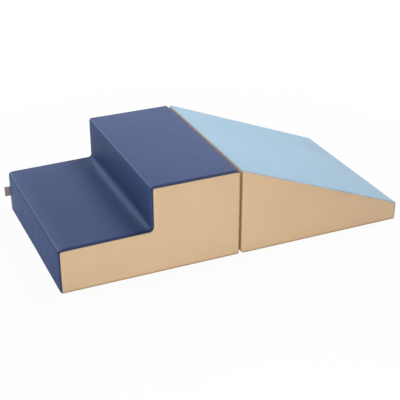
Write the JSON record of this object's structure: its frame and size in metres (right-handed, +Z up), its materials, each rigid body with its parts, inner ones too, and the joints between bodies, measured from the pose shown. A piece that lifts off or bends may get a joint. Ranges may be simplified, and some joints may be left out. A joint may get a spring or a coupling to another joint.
{
  "type": "soft play foam climber",
  "caption": "Soft foam climbing steps and a sloping foam ramp that stand end to end, each in a sewn vinyl cover with a zip underneath, joined by hook-and-loop strips.",
  "frame": {"origin": "on the ground, at the middle of the whole climber's box", "axes": "+X from the steps towards the ramp's nose, +Z up, -Y towards the near side of the picture"},
  "size_m": [1.2444, 0.615, 0.3085],
  "materials": {
    "navy_vinyl": "soft satin vinyl, fine leather grain",
    "light_blue_vinyl": "soft satin vinyl, fine leather grain",
    "tan_vinyl": "soft satin vinyl, fine leather grain",
    "foam": "open-cell foam",
    "zip_tape": "woven polyester tape with a nylon coil",
    "zinc": "satin nickel plate on zinc alloy",
    "hook_and_loop": "nylon hooks or loops on woven tape",
    "woven_label": "woven polyester ribbon"
  },
  "bodies": {
    "step": {"step_foam_lower_slab": "foam", "step_foam_upper_slab": "foam", "step_tread_wrap": "navy_vinyl", "step_near_side_panel": "tan_vinyl", "step_far_side_panel": "tan_vinyl", "step_back_panel": "tan_vinyl", "step_base_front_panel": "tan_vinyl", "step_base_rear_panel": "tan_vinyl", "step_zip_front_tape": "zip_tape", "step_zip_rear_tape": "zip_tape", "step_zip_bottom_stop": "zinc", "step_zip_front_top_stop": "zinc", "step_zip_rear_top_stop": "zinc", "step_loop_strip_near": "hook_and_loop", "step_loop_strip_far": "hook_and_loop", "step_woven_label": "woven_label"},
    "ramp": {"ramp_foam_wedge": "foam", "ramp_slide_wrap": "light_blue_vinyl", "ramp_near_side_panel": "tan_vinyl", "ramp_far_side_panel": "tan_vinyl", "ramp_tall_end_panel": "tan_vinyl", "ramp_base_nose_panel": "tan_vinyl", "ramp_base_rear_panel": "tan_vinyl", "ramp_zip_front_tape": "zip_tape", "ramp_zip_rear_tape": "zip_tape", "ramp_zip_bottom_stop": "zinc", "ramp_zip_front_top_stop": "zinc", "ramp_zip_rear_top_stop": "zinc", "ramp_hook_strip_near": "hook_and_loop", "ramp_hook_strip_far": "hook_and_loop"},
    "step_zip_slider": {"step_zip_slider": "zinc"},
    "step_zip_pull": {"step_zip_pull": "zinc"},
    "ramp_zip_slider": {"ramp_zip_slider": "zinc"},
    "ramp_zip_pull": {"ramp_zip_pull": "zinc"}
  },
  "joints": [
    {"name": "ramp_pulls_away", "type": "slide", "parent": "step", "child": "ramp", "axis": [1, 0, 0], "range_m": [0, 0.4]},
    {"name": "step_zip_runs", "type": "slide", "parent": "step", "child": "step_zip_slider", "axis": [0, -1, 0], "range_m": [0, 0.484]},
    {"name": "step_zip_pull_swings", "type": "hinge", "parent": "step_zip_slider", "child": "step_zip_pull", "pos_m": [-0.18315, 0.2388, 0.0053], "axis": [1, 0, 0], "range_deg": [0, 120]},
    {"name": "ramp_zip_runs", "type": "slide", "parent": "ramp", "child": "ramp_zip_slider", "axis": [0, -1, 0], "range_m": [0, 0.484]},
    {"name": "ramp_zip_pull_swings", "type": "hinge", "parent": "ramp_zip_slider", "child": "ramp_zip_pull", "pos_m": [0.20135, 0.2388, 0.0053], "axis": [1, 0, 0], "range_deg": [0, 120]}
  ]
}
